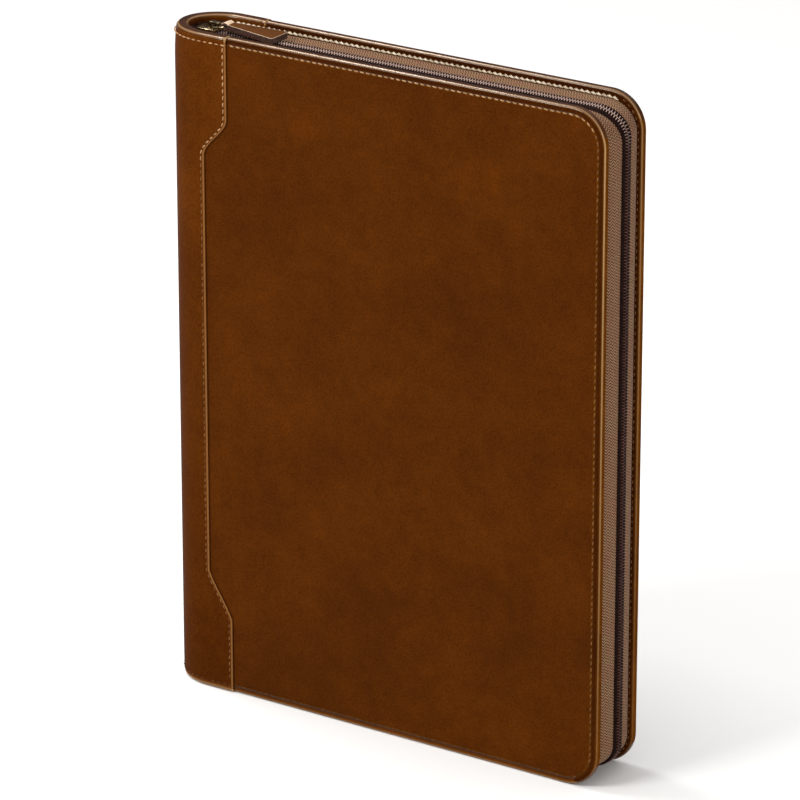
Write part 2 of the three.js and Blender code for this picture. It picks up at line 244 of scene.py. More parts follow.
def add_node(tree, kind, inputs=None, **settings):
    """Adds a node with its settings, and sets or links its inputs."""
    made = tree.nodes.new(kind)
    for name, value in settings.items():
        setattr(made, name, value)
    for name, value in (inputs or {}).items():
        if isinstance(value, bpy.types.NodeSocket):
            tree.links.new(value, made.inputs[name])
        else:
            made.inputs[name].default_value = value
    return made


def ramp(tree, factor, stops):
    """A colour ramp from hex colours at positions."""
    made = add_node(tree, "ShaderNodeValToRGB", {"Fac": factor})
    band = made.color_ramp
    while len(band.elements) < len(stops):
        band.elements.new(0.5)
    for element, (position, code) in zip(band.elements, stops):
        element.position = position
        element.color = colour(code)
    return made.outputs["Color"]


def new_material(name, **sockets):
    material = bpy.data.materials.new(name)
    material.use_nodes = True
    shader = material.node_tree.nodes["Principled BSDF"]
    for socket, value in sockets.items():
        shader.inputs[socket.replace("_", " ")].default_value = value
    return material, material.node_tree, shader


def cowhide(name, tones, highlight_and_rubbed_tone, roughness, specular, tint, grain_depth=1.0):
    """Aniline-dyed and waxed cowhide, hand-rubbed: cloudy patina, a fine pebbled grain and soft gloss."""
    material, tree, shader = new_material(name, Roughness=roughness)
    shader.inputs["Specular IOR Level"].default_value = specular
    shader.inputs["Specular Tint"].default_value = colour(tint)
    place = add_node(tree, "ShaderNodeTexCoord").outputs["Object"]
    cloud = add_node(tree, "ShaderNodeTexNoise", {
        "Vector": place, "Scale": per_mm(52), "Detail": 5, "Roughness": 0.62, "Distortion": 0.3,
    })
    mottle = add_node(tree, "ShaderNodeTexNoise", {
        "Vector": place, "Scale": per_mm(7), "Detail": 6, "Roughness": 0.7,
    })
    mixed = add_node(tree, "ShaderNodeMix", {
        0: 0.36, 2: cloud.outputs["Fac"], 3: mottle.outputs["Fac"],
    }, data_type="FLOAT")
    hide = ramp(tree, mixed.outputs[0], tones)
    grain = add_node(tree, "ShaderNodeTexVoronoi", {
        "Vector": place, "Scale": per_mm(0.95), "Smoothness": 0.6,
    }, feature="SMOOTH_F1")
    pores = add_node(tree, "ShaderNodeTexNoise", {
        "Vector": place, "Scale": per_mm(0.45), "Detail": 2, "Roughness": 0.6,
    })
    creases = ramp(tree, grain.outputs["Distance"], [(0.25, "#ffffff"), (0.75, "#c9b8a8")])
    tinted = add_node(tree, "ShaderNodeMix", {
        0: 0.55, 6: hide, 7: creases,
    }, data_type="RGBA", blend_type="MULTIPLY")
    # Painted shade: a point attribute multiplies the hide towards a grey-brown. It stands for shade on upward
    # and inner faces, towards the bottom and at the spine's back fold. Near the covers' rims it is partly
    # burnish.
    shade_amount = add_node(tree, "ShaderNodeAttribute", attribute_name="hide_dark")
    shaded = add_node(tree, "ShaderNodeMix", {
        0: shade_amount.outputs["Fac"], 6: tinted.outputs[2], 7: colour("#a2938a"),
    }, data_type="RGBA", blend_type="MULTIPLY")
    # Painted highlight and painted light: a point attribute mixes in a pale tone. It paints a highlight line
    # along the rims' crests and an amber light along the foot. Along the wrap's folded edge it is a rubbed
    # edge together with its painted highlight.
    highlight_amount = add_node(tree, "ShaderNodeAttribute", attribute_name="painted_light_and_rub")
    highlighted = add_node(tree, "ShaderNodeMix", {
        0: highlight_amount.outputs["Fac"], 6: shaded.outputs[2], 7: colour(highlight_and_rubbed_tone),
    }, data_type="RGBA")
    tree.links.new(highlighted.outputs[2], shader.inputs["Base Color"])
    gloss = add_node(tree, "ShaderNodeMapRange", {
        "Value": mottle.outputs["Fac"], 1: 0.3, 2: 0.7, 3: roughness - 0.05, 4: roughness + 0.08,
    })
    tree.links.new(gloss.outputs[0], shader.inputs["Roughness"])
    pebble = add_node(tree, "ShaderNodeBump", {
        "Strength": 0.55 * grain_depth, "Distance": 0.06 * MM, "Height": grain.outputs["Distance"],
    }, invert=True)
    pits = add_node(tree, "ShaderNodeBump", {
        "Strength": 0.35 * grain_depth, "Distance": 0.03 * MM, "Height": pores.outputs["Fac"],
        "Normal": pebble.outputs["Normal"],
    })
    waves = add_node(tree, "ShaderNodeTexNoise", {"Vector": place, "Scale": per_mm(38), "Detail": 1})
    swell = add_node(tree, "ShaderNodeBump", {
        "Strength": 0.5, "Distance": 1.2 * MM, "Height": waves.outputs["Fac"],
        "Normal": pits.outputs["Normal"],
    })
    tree.links.new(swell.outputs["Normal"], shader.inputs["Normal"])
    return material


# Cover hide: the even, cloudy brown of the two flat faces, with a warm and quiet gloss
cover_hide = cowhide(
    "waxed_cowhide_cover",
    [(0.3, "#431f06"), (0.5, "#4e2607"), (0.7, "#5b2d08")], "#8a5424",
    roughness=0.45, specular=0.01, tint="#ffa050",
)
# Wrap hide: the same leather, in slightly lighter and redder tones than the covers
wrap_hide = cowhide(
    "waxed_cowhide_wrap",
    [(0.3, "#4c2408"), (0.5, "#582c09"), (0.7, "#65350c")], "#9a6a3c",
    roughness=0.45, specular=0.005, tint="#ffa860",
)
# Rim hide: the rims' upper and lower sides, burnished with wax until they shine, in darker tones as painted
# shade
shaded_rim_hide = cowhide(
    "burnished_cowhide_rim_painted_shade",
    [(0.3, "#3c1c06"), (0.5, "#4b2608"), (0.7, "#5a300c")], "#b88e5e",
    roughness=0.2, specular=0.34, tint="#fff0dc", grain_depth=0.15,
)
# Side rim hide: the same rims at the sides, in lighter amber tones as painted light and dull, with a painted
# highlight line along the crest
lit_side_rim_hide = cowhide(
    "cowhide_rim_painted_light",
    [(0.3, "#4e2806"), (0.5, "#5e3309"), (0.7, "#70400e")], "#c8a06c",
    roughness=0.4, specular=0.0, tint="#ffb060", grain_depth=0.3,
)
# Pull hide: a lighter tan strap leather
pull_hide = cowhide(
    "tan_strap_leather",
    [(0.3, "#482506"), (0.5, "#542e09"), (0.7, "#60360c")], "#9a6a3c",
    roughness=0.42, specular=0.12, tint="#ffb060",
)
# Pull edge hide: the strap's upward-facing corners, rubbed pale and shiny, the paleness partly a painted
# highlight
pull_edge_hide_highlit = cowhide(
    "rubbed_strap_edge_painted_highlight",
    [(0.3, "#c4a280"), (0.5, "#d8bc9c"), (0.7, "#ecd8bc")], "#c8a880",
    roughness=0.3, specular=0.4, tint="#ffe8d0", grain_depth=0.2,
)


def painted_edge():
    """Dark edge paint on a cut leather edge, brushed on and slightly lumpy: soft mauve-brown gloss."""
    material, tree, shader = new_material("edge_paint", Roughness=0.38)
    place = add_node(tree, "ShaderNodeTexCoord").outputs["Object"]
    lumps = add_node(tree, "ShaderNodeTexNoise", {"Vector": place, "Scale": per_mm(1.1), "Detail": 3})
    tree.links.new(
        ramp(tree, lumps.outputs["Fac"], [(0.35, "#33201b"), (0.65, "#4f372f")]),
        shader.inputs["Base Color"],
    )
    bump = add_node(tree, "ShaderNodeBump", {
        "Strength": 0.4, "Distance": 0.15 * MM, "Height": lumps.outputs["Fac"],
    })
    tree.links.new(bump.outputs["Normal"], shader.inputs["Normal"])
    return material


def zip_tape():
    """Woven polyester herringbone tape: dull tan, with ribs that change direction in narrow columns."""
    material, tree, shader = new_material("herringbone_polyester_tape", Roughness=0.85)
    shader.inputs["Specular IOR Level"].default_value = 0.2
    shader.inputs["Sheen Weight"].default_value = 0.05
    shader.inputs["Sheen Roughness"].default_value = 0.5
    flat = add_node(tree, "ShaderNodeUVMap").outputs["UV"]
    axes = add_node(tree, "ShaderNodeSeparateXYZ", {"Vector": flat})
    # Columns 2.8 mm wide, and ribs 1.5 mm apart that run at 45 degrees in them. The real weave is
    # about half as coarse, and would not show
    fold = add_node(tree, "ShaderNodeMath", {0: axes.outputs["X"], 1: 1.4}, operation="PINGPONG")
    slant = add_node(tree, "ShaderNodeMath", {0: axes.outputs["Y"], 1: fold.outputs[0]}, operation="ADD")
    turns = add_node(tree, "ShaderNodeMath", {
        0: slant.outputs[0], 1: 2 * math.pi / 1.5,
    }, operation="MULTIPLY")
    rib = add_node(tree, "ShaderNodeMath", {0: turns.outputs[0]}, operation="SINE")
    place = add_node(tree, "ShaderNodeTexCoord").outputs["Object"]
    fuzz = add_node(tree, "ShaderNodeTexNoise", {"Vector": place, "Scale": per_mm(0.5), "Detail": 3})
    drift = add_node(tree, "ShaderNodeTexNoise", {"Vector": place, "Scale": per_mm(9), "Detail": 3})
    woven = ramp(tree, add_node(tree, "ShaderNodeMapRange", {
        "Value": rib.outputs[0], 1: -1.0, 2: 1.0,
    }).outputs[0], [(0.0, "#3c281a"), (0.45, "#806045"), (1.0, "#a4866a")])
    shade = ramp(tree, fuzz.outputs["Fac"], [(0.3, "#bda793"), (0.7, "#ffffff")])
    cloth = add_node(tree, "ShaderNodeMix", {
        0: 0.7, 6: woven, 7: shade,
    }, data_type="RGBA", blend_type="MULTIPLY")
    warm = ramp(tree, drift.outputs["Fac"], [(0.35, "#f4d6cc"), (0.65, "#f2ead4")])
    toned = add_node(tree, "ShaderNodeMix", {
        0: 0.8, 6: cloth.outputs[2], 7: warm,
    }, data_type="RGBA", blend_type="MULTIPLY")
    tree.links.new(toned.outputs[2], shader.inputs["Base Color"])
    bump = add_node(tree, "ShaderNodeBump", {
        "Strength": 0.8, "Distance": 0.12 * MM, "Height": rib.outputs[0],
    })
    tree.links.new(bump.outputs["Normal"], shader.inputs["Normal"])
    return material


def nylon():
    """Extruded nylon wire of a coil zip: dark red-brown and smooth, painted paler along the top as a painted
    highlight where the light falls on it.
    """
    material, tree, shader = new_material("dark_brown_nylon", Roughness=0.33)
    shader.inputs["IOR"].default_value = 1.53
    shader.inputs["Specular IOR Level"].default_value = 0.2
    shader.inputs["Specular Tint"].default_value = colour("#ffd0b8")
    place = add_node(tree, "ShaderNodeTexCoord").outputs["Object"]
    drift = add_node(tree, "ShaderNodeTexNoise", {"Vector": place, "Scale": per_mm(2.5), "Detail": 2})
    top_light = add_node(tree, "ShaderNodeAttribute", attribute_name="coil_painted_highlight")
    wire = add_node(tree, "ShaderNodeMix", {
        0: top_light.outputs["Fac"],
        6: ramp(tree, drift.outputs["Fac"], [(0.35, "#43221a"), (0.65, "#5e392e")]),
        7: colour("#c4a89c"),
    }, data_type="RGBA")
    tree.links.new(wire.outputs[2], shader.inputs["Base Color"])
    return material


def thread(name, dark, light):
    """Waxed and twisted polyester sewing thread: a dull gloss, with shade between its plies."""
    material, tree, shader = new_material(name, Roughness=0.65)
    shader.inputs["Specular IOR Level"].default_value = 0.04
    place = add_node(tree, "ShaderNodeTexCoord").outputs["Object"]
    drift = add_node(tree, "ShaderNodeTexNoise", {"Vector": place, "Scale": per_mm(3), "Detail": 3})
    plies = add_node(tree, "ShaderNodeTexNoise", {"Vector": place, "Scale": per_mm(0.3), "Detail": 1})
    tree.links.new(
        ramp(tree, drift.outputs["Fac"], [(0.35, dark), (0.65, light)]),
        shader.inputs["Base Color"],
    )
    bump = add_node(tree, "ShaderNodeBump", {
        "Strength": 0.6, "Distance": 0.08 * MM, "Height": plies.outputs["Fac"],
    })
    tree.links.new(bump.outputs["Normal"], shader.inputs["Normal"])
    return material


def antique_brass():
    """Cast brass, blackened and rubbed back: dark in its hollows and bright where it is handled."""
    material, tree, shader = new_material("antiqued_cast_brass", Metallic=1.0, Roughness=0.28)
    place = add_node(tree, "ShaderNodeTexCoord").outputs["Object"]
    tarnish = add_node(tree, "ShaderNodeTexNoise", {"Vector": place, "Scale": per_mm(2.2), "Detail": 5})
    tree.links.new(
        ramp(tree, tarnish.outputs["Fac"], [(0.4, "#3a2c1a"), (0.56, "#8a785a"), (0.7, "#d0c29e")]),
        shader.inputs["Base Color"],
    )
    rough = add_node(tree, "ShaderNodeMapRange", {
        "Value": tarnish.outputs["Fac"], 1: 0.35, 2: 0.65, 3: 0.42, 4: 0.2,
    })
    tree.links.new(rough.outputs[0], shader.inputs["Roughness"])
    return material


def lining_cloth():
    """Dark mauve-brown satin lining: a tight weave, with pale patches in its colour as a painted sheen where
    it creases.
    """
    material, tree, shader = new_material("satin_lining", Roughness=0.45)
    shader.inputs["Specular IOR Level"].default_value = 0.3
    place = add_node(tree, "ShaderNodeTexCoord").outputs["Object"]
    creases = add_node(tree, "ShaderNodeTexNoise", {
        "Vector": place, "Scale": per_mm(4), "Detail": 5, "Distortion": 0.8,
    })
    tree.links.new(
        ramp(tree, creases.outputs["Fac"], [(0.35, "#2a120e"), (0.55, "#50302a"), (0.7, "#957870")]),
        shader.inputs["Base Color"],
    )
    bump = add_node(tree, "ShaderNodeBump", {
        "Strength": 0.9, "Distance": 0.8 * MM, "Height": creases.outputs["Fac"],
    })
    tree.links.new(bump.outputs["Normal"], shader.inputs["Normal"])
    return material


edge_paint = painted_edge()
tape_weave = zip_tape()
coil_nylon = nylon()
# One thread in lit and shaded copies: tan along the top, brown lower down and on the zip's side row as
# painted shade, darker still at the foot as painted shade
tan_thread = thread("tan_waxed_thread", "#906a46", "#b48e66")
brown_thread_shaded = thread("brown_waxed_thread", "#58371b", "#7c5632")
foot_thread_shaded = thread("waxed_thread_painted_shade", "#40230e", "#58371c")
# A near-black thread for the coil's band, partly painted shade between the teeth
dark_thread_and_shade = thread("dark_zip_thread_and_painted_shade", "#120705", "#1f0f0a")
cream_thread = thread("cream_waxed_thread", "#a8947a", "#ddceb6")
brass = antique_brass()
satin = lining_cloth()


# The camera

def make_camera():
    """Long lens from the front right, a little above the case's top."""
    data = bpy.data.cameras.new("camera")
    data.lens = 242.8
    data.clip_start = 0.1
    data.clip_end = 50
    camera = bpy.data.objects.new("camera", data)
    camera.location = metres(1349.9, -2017.9, 1090.4)
    camera.rotation_euler = (math.radians(90 - 20.801), 0, math.radians(33.778))
    bpy.context.scene.collection.objects.link(camera)
    bpy.context.scene.camera = camera


make_camera()


# The covers

def cover_shell(name, side):
    """A board wrapped in leather: rounded corners, rounded rims and a pressed line for the stitches."""
    near, far = sorted((side * inner_y, side * face_y))
    cover = block(name, (spine_x - 3, near, 0), (right_edge, far, height))
    edit(cover)
    choose(cover, "EDGE", lambda edge: middle(edge).x > (right_edge - 1) * MM
           and abs(edge.verts[0].co.y - edge.verts[1].co.y) > MM)
    bpy.ops.mesh.bevel(offset=corner_radius * MM, segments=20, affect="EDGES", clamp_overlap=False)
    choose(cover, "EDGE", lambda edge: len(edge.link_faces) == 2 and sum(
        abs(face.normal.y) > 0.9 for face in edge.link_faces) == 1)
    bpy.ops.mesh.bevel(offset=rim * MM, segments=8, affect="EDGES", clamp_overlap=False)
    # The pressed line under the stitches, on the outer face
    choose(cover, "FACE", lambda face: face.normal.y * side > 0.9999)
    bpy.ops.mesh.inset(thickness=(stitch_inset - rim - 0.7) * MM)
    bpy.ops.mesh.inset(thickness=0.7 * MM, depth=-0.25 * MM)
    bpy.ops.mesh.inset(thickness=0.8 * MM, depth=0.25 * MM)
    bpy.ops.mesh.inset(thickness=1.0 * MM)
    # The rim steps down to pass under the wrap
    for x in (wrap_edge_x, wrap_edge_x + 0.3):
        bpy.ops.mesh.select_all(action="SELECT")
        bpy.ops.mesh.bisect(plane_co=metres(x, 0, 0), plane_no=(1, 0, 0))
    under_wrap = (wrap_edge_x + 0.1) * MM
    for low, lift in ((True, wrap_stand), (False, -wrap_stand)):
        choose(cover, "VERT", lambda point: point.co.x < under_wrap
               and (point.co.z < height * MM / 2) == low)
        bpy.ops.transform.translate(value=metres(0, 0, lift))
    leave_edit()
    smooth(cover)
    return cover


def burnish_and_paint_rim_light(piece, is_rim):
    """Gives the faces of a rim the burnished hides: glossy and darker above and below as painted shade, dull
    and lighter amber at the sides as painted light.
    """
    piece.data.materials.append(shaded_rim_hide)
    piece.data.materials.append(lit_side_rim_hide)
    for face in piece.data.polygons:
        if is_rim(face):
            face.material_index = 1 if abs(face.normal.z) > 0.3 else 2


def painted_crest_line(turn):
    """How much painted highlight a rounded edge gets along its crest, by how far it has turned from the face
    in degrees.
    """
    return max(0.0, 1 - abs(turn - 53) / 20)


def from_rim(x, z):
    """How far a point of a cover is inside its outline."""
    inside_x, inside_z = right_edge - x, min(z, height - z)
    if inside_x < corner_radius and inside_z < corner_radius:
        return corner_radius - math.hypot(corner_radius - inside_x, corner_radius - inside_z)
    return min(inside_x, inside_z)


# Bands of painted shade inside a cover's outline, by the stitch groove and the rim, partly burnish: how far
# in each one reaches and how dark it is
rim_painted_shade = ((2.5, 0.7), (4.2, 0.5), (5, 0.1))


def paint_cover_light_and_shade(piece):
    """The rims' crests get a painted highlight line, brighter towards the top, and the foot a painted amber
    light. The hide gets painted shade from the stitches out, partly burnish, on the inner faces and on upward
    faces.
    """
    light_and_rub_layer = piece.data.attributes.new("painted_light_and_rub", "FLOAT", "POINT")
    shade_and_burnish_layer = piece.data.attributes.new("hide_dark", "FLOAT", "POINT")
    for index, point in enumerate(piece.data.vertices):
        x, across, z = point.co.x / MM, abs(point.co.y) / MM, point.co.z / MM
        sunk = min(face_y - across, across - inner_y)
        turn = math.degrees(math.acos(clamp(1 - sunk / rim)))
        is_inner = across < (inner_y + face_y) / 2
        upward = max(0.0, point.normal.z)
        highlighted = painted_crest_line(turn) * (0.15 + 0.75 * z / height) * (1 - 0.6 * upward)
        light_and_rub_layer.data[index].value = highlighted * (0.5 if is_inner and upward < 0.3 else 1)
        # Painted shade on the rims' upward faces and the inner faces, painted amber light at the foot, and
        # painted shade in bands inside the outline, partly burnish
        if turn > 40:
            dark = 0.55 * upward
        elif is_inner:
            dark = 0.7
        elif z < foot_band:
            dark = 0.0
            light_and_rub_layer.data[index].value = max(light_and_rub_layer.data[index].value, 0.3)
        else:
            inset = from_rim(x, z)
            dark = next((shade for reach, shade in rim_painted_shade if inset < reach), 0.0)
        shade_and_burnish_layer.data[index].value = dark


for name, node, side in (("front_cover_leather", "front_cover", -1), ("back_cover_leather", "back_cover", 1)):
    cover = dress(cover_shell(name, side), "case", "cover_leather", cover_hide, node)
    burnish_and_paint_rim_light(cover, lambda face: abs(face.normal.y) < 0.97)
    paint_cover_light_and_shade(cover)


# The wrap round the spine

def ellipse(turn, depth):
    """A point of the spine's plan. turn runs from -90 degrees at the front to 90 at the back."""
    normal = Vector((-wrap_y * math.cos(turn), spine_reach * math.sin(turn))).normalized()
    spot = Vector((spine_x - spine_reach * math.cos(turn), wrap_y * math.sin(turn)))
    return spot - normal * depth, normal


def measured_turns(steps=240):
    """Turns round the spine with the length walked to each."""
    turns = [math.pi * (step / steps - 0.5) for step in range(steps + 1)]
    walked = [0.0]
    for last, turn in zip(turns, turns[1:]):
        walked.append(walked[-1] + (ellipse(turn, 0)[0] - ellipse(last, 0)[0]).length)
    return turns, walked


spine_turns, spine_walk = measured_turns()
spine_length = spine_walk[-1]


def turn_after(length):
    for index in range(1, len(spine_walk)):
        if spine_walk[index] >= length:
            share = (length - spine_walk[index - 1]) / (spine_walk[index] - spine_walk[index - 1])
            return spine_turns[index - 1] + share * (spine_turns[index] - spine_turns[index - 1])
    return spine_turns[-1]


def lap_at(z):
    """How far the wrap laps over a cover: wide tabs at the ends and a narrow waist between."""
    share = clamp((min(z, height - z) - tab_height) / step_height)
    if z > height / 2:
        share = clamp((share - 0.5) * 1.2 + 0.5)
        eased = share * share * (3 - 2 * share)
    else:
        eased = 0.7 * share + 0.3 * share * share * (3 - 2 * share)
    return tab_lap + (waist_lap - tab_lap) * eased


def wrap_spot(walk, z, depth):
    """A point on the wrap at a walk from its front edge, and the direction that its face looks in."""
    lap = lap_at(z)
    total = 2 * lap + spine_length
    if walk < lap:
        return Vector((spine_x + lap - walk, depth - wrap_y)), Vector((0, -1))
    if walk > total - lap:
        return Vector((spine_x + lap - (total - walk), wrap_y - depth)), Vector((0, 1))
    return ellipse(turn_after(walk - lap), depth)


def rim_profile(radius, span, crest, steps, tail):
    """A rim's section as depths and heights: outer round, flat crest, inner round and inside."""
    arc = [math.pi / 2 * step / steps for step in range(steps + 1)]
    outer = [(radius * (1 - math.cos(turn)), crest - radius * (1 - math.sin(turn))) for turn in arc]
    inner = [(span - depth, z) for depth, z in reversed(outer)]
    return outer + inner + [(span, crest - radius - tail)]


def wrap_profile():
    top = rim_profile(wrap_rim, spine_wall + 0.2, height, 7, 1.5)
    bottom = [(depth, height - z) for depth, z in reversed(top)]
    heights = [height / 2 + (height / 2 - tab_height - step_height) * step / 6 for step in range(7)]
    heights += [height - tab_height - step_height * (1 - step / 16) for step in range(1, 17)]
    last = height - wrap_rim
    start = height - tab_height
    heights += [start + (last - start) * share for share in (0.2, 0.4, 0.6, 0.75, 0.88, 0.96)]
    upper = [(0, z) for z in heights]
    lower = [(0, height - z) for z in reversed(heights[1:])]
    return bottom + lower + upper + top


def groove(distance, centre, width=0.7, deep=0.2):
    """How deep leather is pulled in beside a line of stitches."""
    return deep * max(0.0, 1 - abs(distance - centre) / width)


edge_walks = [0, 0.35, 0.75, 1.15, seam_inset, 2.5, 3.8]


def wrap_sheet():
    profile = wrap_profile()
    spine_steps = 56
    columns = len(edge_walks) * 2 + spine_steps - 1
    rows = len(profile) - 1

    def walk_of(column, total):
        if column < len(edge_walks):
            return edge_walks[column]
        if column > columns - len(edge_walks):
            return total - edge_walks[columns - column]
        share = (column - len(edge_walks) + 1) / (columns - 2 * len(edge_walks) + 2)
        return edge_walks[-1] + share * (total - 2 * edge_walks[-1])

    def place(column, row):
        depth, z = profile[row]
        total = 2 * lap_at(z) + spine_length
        walk = walk_of(column, total)
        from_edge = min(walk, total - walk)
        spot, look = wrap_spot(walk, z, 0)
        pulled = groove(from_edge, seam_inset, 0.9, 0.3) + 0.5 * max(0.0, 1 - from_edge / 1.2) ** 2
        # The rim is drawn in a little where the spine is roundest
        near_top = max(0.0, 1 - (height - z) / 14)
        near_foot = max(0.0, 1 - z / 8)
        drawn = max(0.0, -look.x) * (1.2 * near_top ** 1.5 + 0.5 * near_foot ** 1.5)
        spot = spot - look * (depth + pulled + drawn)
        return spot.x, spot.y, z

    wrap = lay_sheet("spine_wrap_leather", columns, rows, place)
    face_away(wrap, (-400, 0, 170))
    return wrap


wrap = wrap_sheet()
finish_modifier(wrap, "SOLIDIFY", thickness=wrap_leather * MM, offset=-1)
round_edges(wrap, 0.4, 3, 50)


def paint_wrap_light_and_shade(piece):
    """The wrap's folded edge is painted pale, a rubbed edge with its painted highlight; its rims get a
    painted highlight line and its foot a painted amber light. Its hide gets painted shade at the back fold,
    on upward faces and more towards the foot.
    """
    light_and_rub_layer = piece.data.attributes.new("painted_light_and_rub", "FLOAT", "POINT")
    shade_and_burnish_layer = piece.data.attributes.new("hide_dark", "FLOAT", "POINT")
    for index, point in enumerate(piece.data.vertices):
        x, z = point.co.x / MM, point.co.z / MM
        from_edge = spine_x + lap_at(z) - x
        folded = 0.75 * max(0.0, 1 - abs(from_edge - 0.45) / 0.65)
        from_crest = min(z, height - z)
        turn = math.degrees(math.asin(clamp(1 - from_crest / wrap_rim)))
        upward = max(0.0, point.normal.z)
        crest = painted_crest_line(turn) * (0.15 + 0.65 * z / height) * (1 - 0.4 * upward)
        foot = 0.3 if 0.3 < z < foot_band else 0.0
        light_and_rub_layer.data[index].value = max(folded, foot, crest if from_crest < wrap_rim else 0.0)
        # Painted shade at the back fold, on upward faces and towards the foot
        fold = clamp((back_fold_x - x) / 4)
        shade_amount = 0.5 * (1 - z / height) + 0.7 * fold + 0.5 * upward
        shade_and_burnish_layer.data[index].value = min(1.0, shade_amount) if z > foot_band else 0.0


paint_wrap_light_and_shade(wrap)
smooth(wrap, 50)
dress(wrap, "case", "wrap_leather", wrap_hide, "spine_wrap")
burnish_and_paint_rim_light(wrap, lambda face: min(face.center.z, height * MM - face.center.z) < wrap_rim * MM)


# The padded lining of the spine

def lining_wall():
    """A padded wall round the inside of the wrap, with soft creases in it away from the pull."""
    low = [lining_ends, 4, 8, 13, 20, 32, 60, 110]
    heights = low + [height / 2] + [height - z for z in reversed(low)]
    columns = 48

    def place(column, row):
        turn = math.pi * (column / columns - 0.5)
        spot = ellipse(turn, wrap_y - lining_y)[0]
        return spot.x, spot.y, heights[row]

    lining = lay_sheet("spine_lining_padding", columns, len(heights) - 1, place)
    face_away(lining, (spine_x, -400, height / 2))
    finish_modifier(lining, "SOLIDIFY", thickness=(lining_y - inner_y) * MM, offset=-1)
    round_edges(lining, 1.2, 3, 50)
    for point in lining.data.vertices:
        clear_of_pull = clamp((abs(point.co.y) / MM - 6) / 4)
        crumple = clear_of_pull * noise.noise(point.co / (6 * MM))
        away = Vector((point.co.x - spine_x * MM, point.co.y, 0)).normalized()
        point.co -= away * max(0.0, crumple) * 0.8 * MM
    smooth(lining, 60)
    return lining


lining = lining_wall()
dress(lining, "case", "lining_cloth", satin, "spine_lining")


# The zip's path: from the spine along the top, round the corners and back along the bottom

def sag_at(x):
    return zip_sag * (1 - clamp((x - sag_start) / sag_run))


def top_line(x, dip=0.0):
    return lambda recess, side: (x, height - recess - sag_at(x) - dip)


def corner_line(turn):
    middle_x, middle_z = right_edge - corner_radius, height - corner_radius
    return lambda recess, side: (
        middle_x + (corner_radius - side) * math.sin(turn),
        middle_z + (corner_radius - recess) * math.cos(turn),
    )


def zip_line(starts, corner_steps=14, side_steps=12):
    """The path as functions of the recess below the top rim and inside the side rim."""
    corner = [corner_line(math.pi / 2 * step / corner_steps) for step in range(corner_steps + 1)]
    upper = starts + corner
    side_z = [height / 2 + (height / 2 - corner_radius) * (1 - 2 * step / side_steps)
              for step in range(1, side_steps)]
    sides = [lambda recess, side, z=z: (right_edge - side, z) for z in side_z]

    def mirrored(stop):
        def spot(recess, side):
            x, z = stop(recess, side)
            return x, height - z
        return spot

    return upper + sides + [mirrored(stop) for stop in reversed(upper)]


top_stops = [top_line(zip_start_x + 0.3 + share * (sag_start + sag_run - zip_start_x)) for share in
             (0, 0.08, 0.16, 0.3, 0.45, 0.6, 0.8, 1)]
top_stops += [top_line(sag_start + sag_run + step * 12) for step in range(1, 12)
              if sag_start + sag_run + step * 12 < right_edge - corner_radius - 4]


def spine_inner_half(x):
    """Half the clear width inside the spine at x."""
    if x >= spine_x:
        return inner_y
    low, high = 0.0, math.pi / 2
    for _ in range(30):
        turn = (low + high) / 2
        if ellipse(turn, spine_wall)[0].x < x:
            low = turn
        else:
            high = turn
    return ellipse(high, spine_wall)[0].y


tape_ends = [top_line(tape_end_x + (slider_left - tape_end_x) * share, dip * tape_end_dip)
             for share, dip in ((0, 1), (0.3, 0.7), (0.6, 0.3), (1, 0))]
tape_path = zip_line(tape_ends + [top_line(slider_left + 3.5)] + top_stops)


def tape_sheet(name, side):
    """One woven tape from the coil out to its cover, laid along the whole path."""
    across = [0, 0.1, 0.3, 0.5, 0.7, 0.85, 1]
    joined_y, parted_y = 0.35, 1.8  # its inner edge under the coils, and behind the slider
    under_coil_y, clear = 5.0, 0.25
    lengths = [0.0]
    middles = [stop(tape_under, 0) for stop in tape_path]
    for (x0, z0), (x1, z1) in zip(middles, middles[1:]):
        lengths.append(lengths[-1] + math.hypot(x1 - x0, z1 - z0))

    def station(column, row):
        x, z = middles[row]
        parted = x < zip_start_x and z > height / 2
        if column == 0:
            return parted_y if parted else joined_y, 0.0
        outer = spine_inner_half(x) - clear
        flat = min(under_coil_y, outer - 0.3)
        share = across[column - 1]
        return flat + (outer - flat) * share, share * share

    def place(column, row):
        y, rise = station(column, row)
        recess = tape_under + (tape_edge - tape_under) * rise + 0.1
        inset = tape_under - coil_crown - coil_bulge
        x, z = tape_path[row](recess, inset + (tape_side_edge - inset) * rise + 0.1)
        return x, side * y, z

    def unroll(column, row):
        return station(column, row)[0], lengths[row]

    tape = lay_sheet(name, len(across), len(tape_path) - 1, place, unroll)
    face_away(tape, (-110, side * 5, 600))
    finish_modifier(tape, "SOLIDIFY", thickness=0.7 * MM, offset=-1)
    smooth(tape, 60)
    return tape


for name, node, side in (("front_zip_tape", "front_tape", -1), ("back_zip_tape", "back_tape", 1)):
    tape = tape_sheet(name, side)
    dress(tape, "case", "tape_cloth", tape_weave, node)


# Rows of small shapes along a path

def walked(points, pitch, start=0.0):
    """Spots every pitch along a line of points, each with the way the line runs there."""
    spots = []
    left = start
    for here, there in zip(points, points[1:]):
        span = (there - here).length
        if span < 1e-9:
            continue
        way = (there - here) / span
        while left <= span:
            spots.append((here + way * left, way))
            left += pitch
        left -= span
    return spots


def repeat(name, master, placings):
    """Copies of a master shape, one at each placing, joined into one piece."""
    copies = []
    for placing in placings:
        copy = bpy.data.objects.new(name, master.data.copy())
        bpy.context.scene.collection.objects.link(copy)
        copy.data.transform(placing)
        copies.append(copy)
    bpy.data.objects.remove(master)
    bpy.ops.object.select_all(action="DESELECT")
    for copy in copies:
        copy.select_set(True)
    bpy.context.view_layer.objects.active = copies[0]
    bpy.ops.object.join()
    joined = bpy.context.object
    joined.name = name
    return joined


